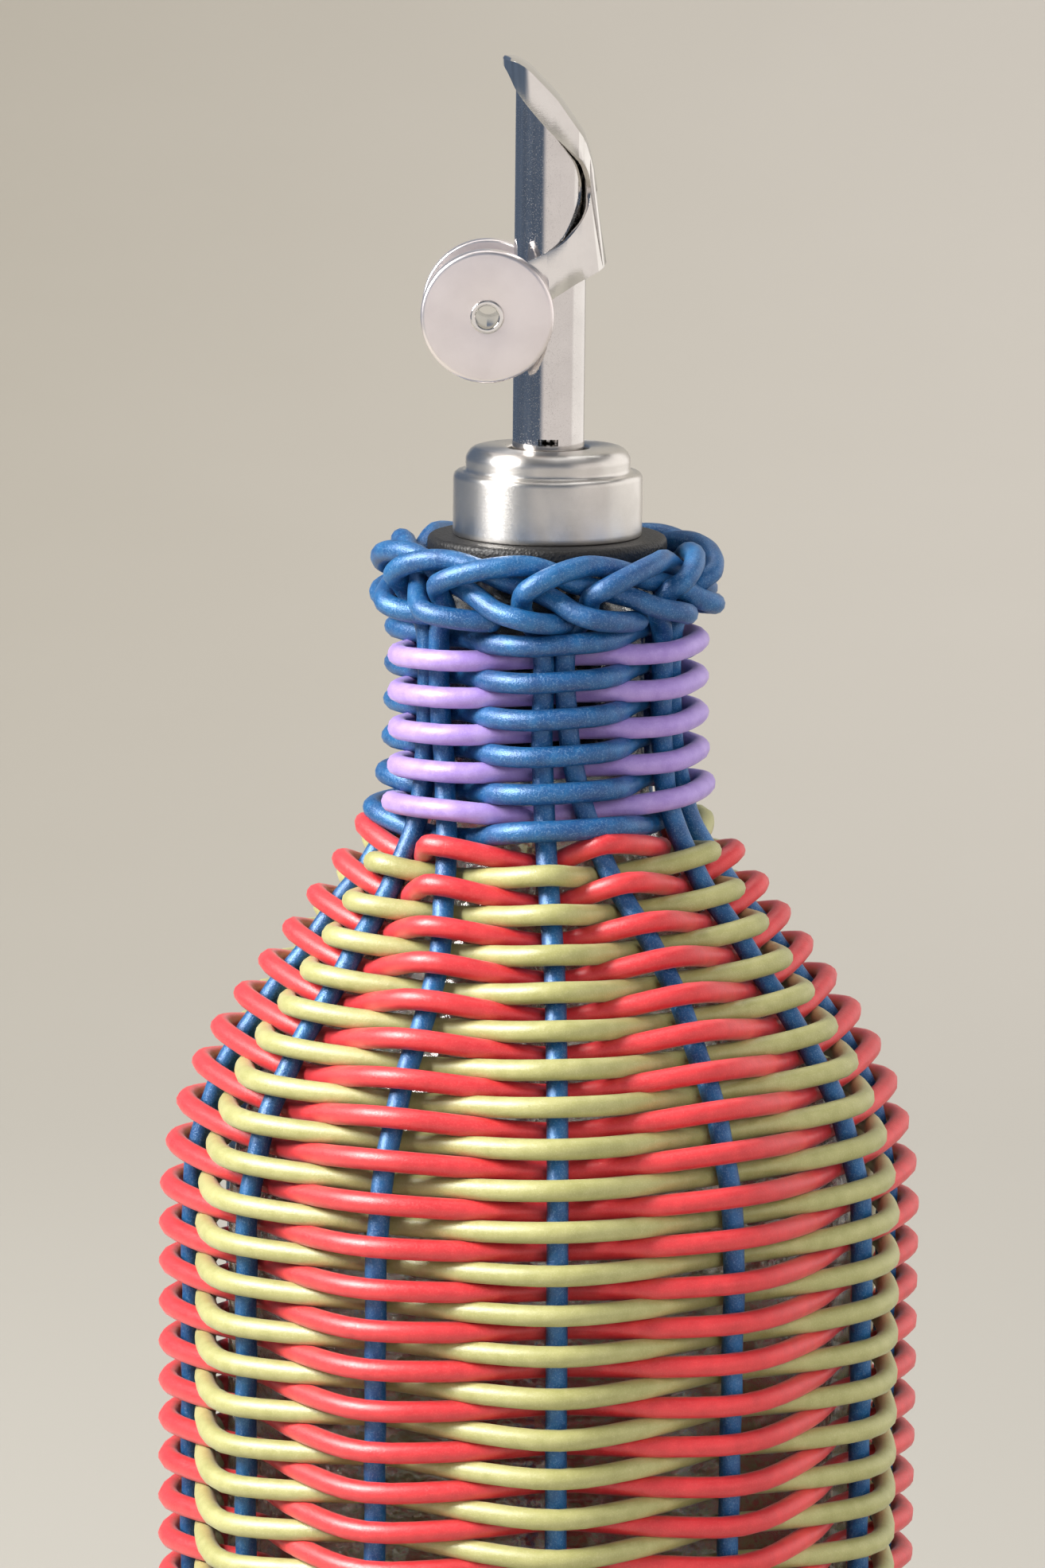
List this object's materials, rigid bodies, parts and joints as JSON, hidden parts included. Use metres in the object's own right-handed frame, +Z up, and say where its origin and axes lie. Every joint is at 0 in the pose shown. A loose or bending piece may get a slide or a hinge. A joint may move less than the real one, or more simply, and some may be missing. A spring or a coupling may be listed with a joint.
{
  "type": "oil cruet",
  "caption": "Glass oil bottle in a coloured woven cane cover, with a rubber stopper and a steel pour tube closed by a hinged flap with counterweight discs",
  "frame": {"origin": "on the table under the middle of the bottle", "axes": "+Z up along the bottle, -Y to the front where the near weight disc faces, -X the side that the pouring lip points to"},
  "size_m": [0.0902, 0.0902, 0.2548],
  "materials": {
    "blue_cane": "round synthetic cane, deep blue with a fine pearl sparkle",
    "red_cane": "round synthetic cane, coral red, fine grain",
    "olive_cane": "round synthetic cane, pale olive, fine grain",
    "purple_cane": "round synthetic cane, lilac, fine grain",
    "glass": "clear bottle glass",
    "rubber": "black, leathery grain",
    "satin_steel": "satin stainless steel, turned brush marks",
    "polished_steel": "polished stainless steel"
  },
  "bodies": {
    "bottle": {"glass_bottle": "glass", "stake_cane_1": "blue_cane", "stake_cane_2": "blue_cane", "stake_cane_3": "blue_cane", "stake_cane_4": "blue_cane", "stake_cane_5": "blue_cane", "stake_cane_6": "blue_cane", "base_weaver_red": "red_cane", "base_weaver_olive": "olive_cane", "body_weaver_red": "red_cane", "body_weaver_olive": "olive_cane", "neck_weaver_blue": "blue_cane", "neck_weaver_purple": "purple_cane"},
    "pourer": {"rubber_stopper": "rubber", "steel_cap": "satin_steel", "pour_tube": "polished_steel", "breather_tube": "polished_steel", "hinge_pin": "polished_steel"},
    "flap": {"flap_lid": "polished_steel", "weight_eyelet": "satin_steel", "weight_disc_front": "satin_steel", "weight_disc_rear": "satin_steel"}
  },
  "joints": [
    {"name": "pourer_lift", "type": "slide", "parent": "bottle", "child": "pourer", "axis": [0, 0, 1], "range_m": [0, 0.075]},
    {"name": "flap_swing", "type": "hinge", "parent": "pourer", "child": "flap", "pos_m": [-0.001, 0, 0.22687], "axis": [0, 1, 0], "range_deg": [0, 45]}
  ]
}
